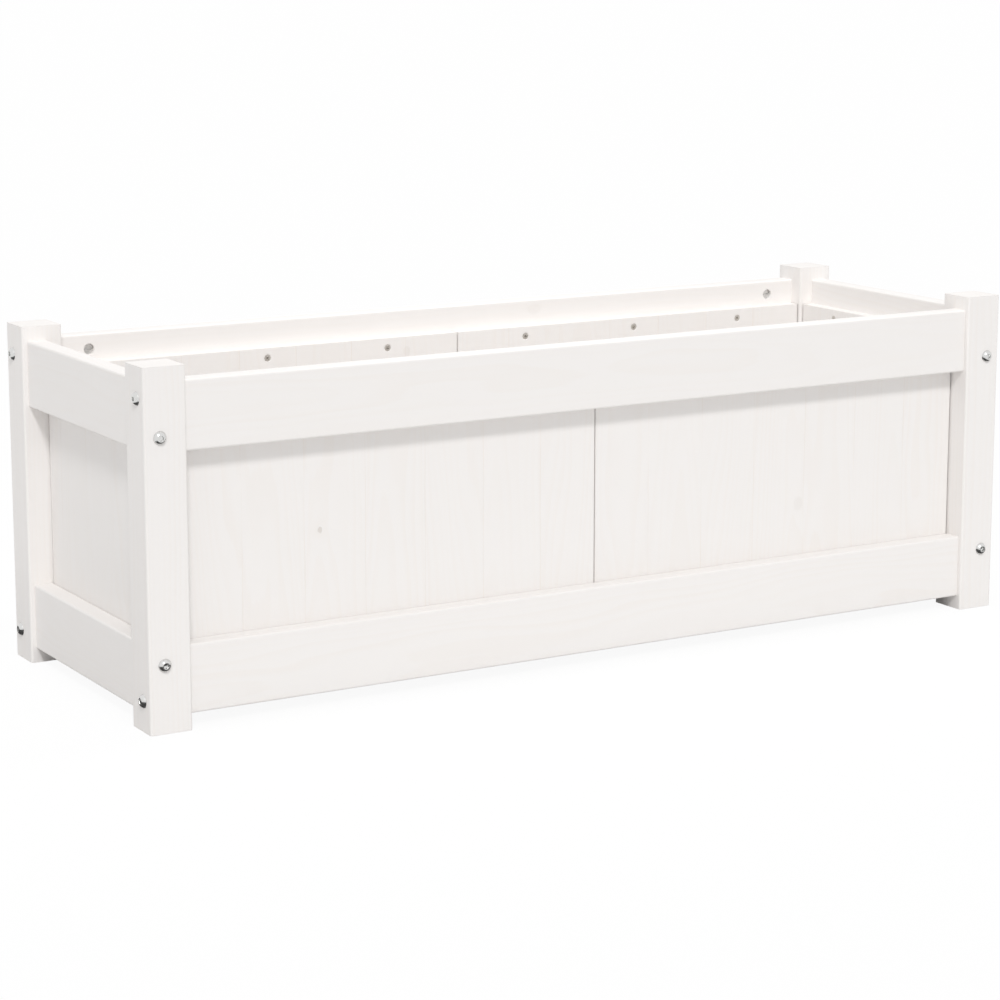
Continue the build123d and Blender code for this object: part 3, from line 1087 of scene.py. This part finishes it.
def make_lamps(stage):
    """A far key lamp, high at the front and to the left, and a long one over the inside.

    The fill lamp hangs just inside the front rails, high above them, and shines down to the
    inner side of the back, so it lights no outer side of the bed.
    """
    key = bpy.data.lights.new("key", "SUN")
    key.energy = stage.key
    key.angle = stage.key_spread
    aimed_lamp(key, Vector(stage.key_way), stage.key_way)

    low, high = (Vector(corner) for corner in cad_box)
    fill = bpy.data.lights.new("fill", "AREA")
    fill.shape = "RECTANGLE"
    fill.size = high.x - low.x
    fill.size_y = FILL_WIDTH
    fill.energy = stage.fill
    place = Vector((0, low.y + FILL_INSET, stage.fill_height))
    lamp = aimed_lamp(fill, place, place - Vector((0, high.y, high.z * FILL_AIM)))
    lamp.visible_camera = False
    lamp.visible_glossy = False


def make_camera(stage):
    """The camera of the photograph: its place, its turn and tilt, and its long lens."""
    data = bpy.data.cameras.new("camera")
    data.lens = stage.lens
    data.sensor_width = SENSOR_WIDTH
    data.shift_y = LENS_SHIFT
    data.clip_end = CLIP_END
    camera = bpy.data.objects.new("camera", data)
    bpy.context.scene.collection.objects.link(camera)
    level = Matrix.Rotation(math.pi / 2 - stage.tilt, 4, "X")
    camera.matrix_world = (
        Matrix.Translation(stage.eye) @ Matrix.Rotation(-stage.turn, 4, "Z") @ level
    )
    bpy.context.scene.camera = camera


class GardenBedPosts(bpy.types.Operator):
    """Paint the four corner posts"""

    bl_idname = "garden_bed.posts"
    bl_label = "Paint posts"

    def execute(self, context):
        return paint_kind(("post",))


class GardenBedRails(bpy.types.Operator):
    """Paint the eight rails"""

    bl_idname = "garden_bed.rails"
    bl_label = "Paint rails"

    def execute(self, context):
        return paint_kind(("rail",))


class GardenBedPanels(bpy.types.Operator):
    """Paint the six panels, each glued from staves"""

    bl_idname = "garden_bed.panels"
    bl_label = "Paint panels"

    def execute(self, context):
        return paint_kind(("panel_front", "panel_back", "panel_left", "panel_right"))


class GardenBedBase(bpy.types.Operator):
    """Paint the bearers and the slats of the base"""

    bl_idname = "garden_bed.base"
    bl_label = "Paint base"

    def execute(self, context):
        return paint_kind(("bearer_front", "bearer_back", "base_slat"))


class GardenBedBolts(bpy.types.Operator):
    """Make the bolts, with domed heads, hexagon sockets and threads"""

    bl_idname = "garden_bed.bolts"
    bl_label = "Make bolts"

    def execute(self, context):
        make_bolts("bolts_long_rails", context.scene, seed=1)
        make_bolts("bolts_short_rails", context.scene, seed=2)
        return {"FINISHED"}


class GardenBedNuts(bpy.types.Operator):
    """Make the barrel nuts, cross drilled and slotted"""

    bl_idname = "garden_bed.barrel_nuts"
    bl_label = "Make barrel nuts"

    def execute(self, context):
        make_barrel_nuts("barrel_nuts_long_rails", context.scene)
        make_barrel_nuts("barrel_nuts_short_rails", context.scene)
        return {"FINISHED"}


class GardenBedScrews(bpy.types.Operator):
    """Make the screws of the panels and bearers, with cross recesses and threads"""

    bl_idname = "garden_bed.screws"
    bl_label = "Make screws"

    def execute(self, context):
        make_screws("panel_screws_long_sides", context.scene, seed=3)
        make_screws("panel_screws_ends", context.scene, seed=4)
        make_screws("bearer_screws", context.scene, seed=5)
        return {"FINISHED"}


class GardenBedDowels(bpy.types.Operator):
    """Make the fluted dowels of the corner joints"""

    bl_idname = "garden_bed.dowels"
    bl_label = "Make dowels"

    def execute(self, context):
        make_dowels("dowels_long_rails", context.scene)
        make_dowels("dowels_short_rails", context.scene)
        return {"FINISHED"}


class GardenBedStudio(bpy.types.Operator):
    """Make the floor, the light and the camera"""

    bl_idname = "garden_bed.stage"
    bl_label = "Make stage"

    def execute(self, context):
        context.scene.view_settings.view_transform = "Standard"
        stage = context.scene.garden_bed_stage
        make_floor(stage)
        make_dark_card(stage)
        make_sky(stage)
        make_lamps(stage)
        make_camera(stage)
        return {"FINISHED"}


OPERATORS = (
    GardenBedPosts,
    GardenBedRails,
    GardenBedPanels,
    GardenBedBase,
    GardenBedBolts,
    GardenBedNuts,
    GardenBedScrews,
    GardenBedDowels,
    GardenBedStudio,
)


class GardenBedPanel(bpy.types.Panel):
    """Lists the garden bed's pieces and its settings"""

    bl_idname = "VIEW3D_PT_garden_bed"
    bl_label = "Garden Bed"
    bl_space_type = "VIEW_3D"
    bl_region_type = "UI"
    bl_category = "Garden Bed"

    def draw(self, context):
        """Draws a button for each operator and a box for each group of settings."""
        for operator in OPERATORS:
            self.layout.operator(operator.bl_idname)
        for group in SETTINGS:
            box = self.layout.box()
            for name in getattr(context.scene, group).bl_rna.properties.keys():
                if name not in ("rna_type", "name"):
                    box.prop(getattr(context.scene, group), name)


SETTINGS = {
    "garden_bed_paint": GardenBedPaint,
    "garden_bed_steel": GardenBedSteel,
    "garden_bed_dowel": GardenBedDowel,
    "garden_bed_stage": GardenBedStage,
}


def register():
    """Adds the settings, the operators and the panel."""
    for kind in (*SETTINGS.values(), *OPERATORS, GardenBedPanel):
        bpy.utils.register_class(kind)
    for name, kind in SETTINGS.items():
        setattr(bpy.types.Scene, name, PointerProperty(type=kind))


def unregister():
    """Takes them away again."""
    for name in SETTINGS:
        delattr(bpy.types.Scene, name)
    for kind in (GardenBedPanel, *OPERATORS, *SETTINGS.values()):
        bpy.utils.unregister_class(kind)


def main():
    """Makes every piece in order."""
    register()
    for operator in OPERATORS:
        group, name = operator.bl_idname.split(".")
        getattr(getattr(bpy.ops, group), name)()


if __name__ == "__main__":
    main()
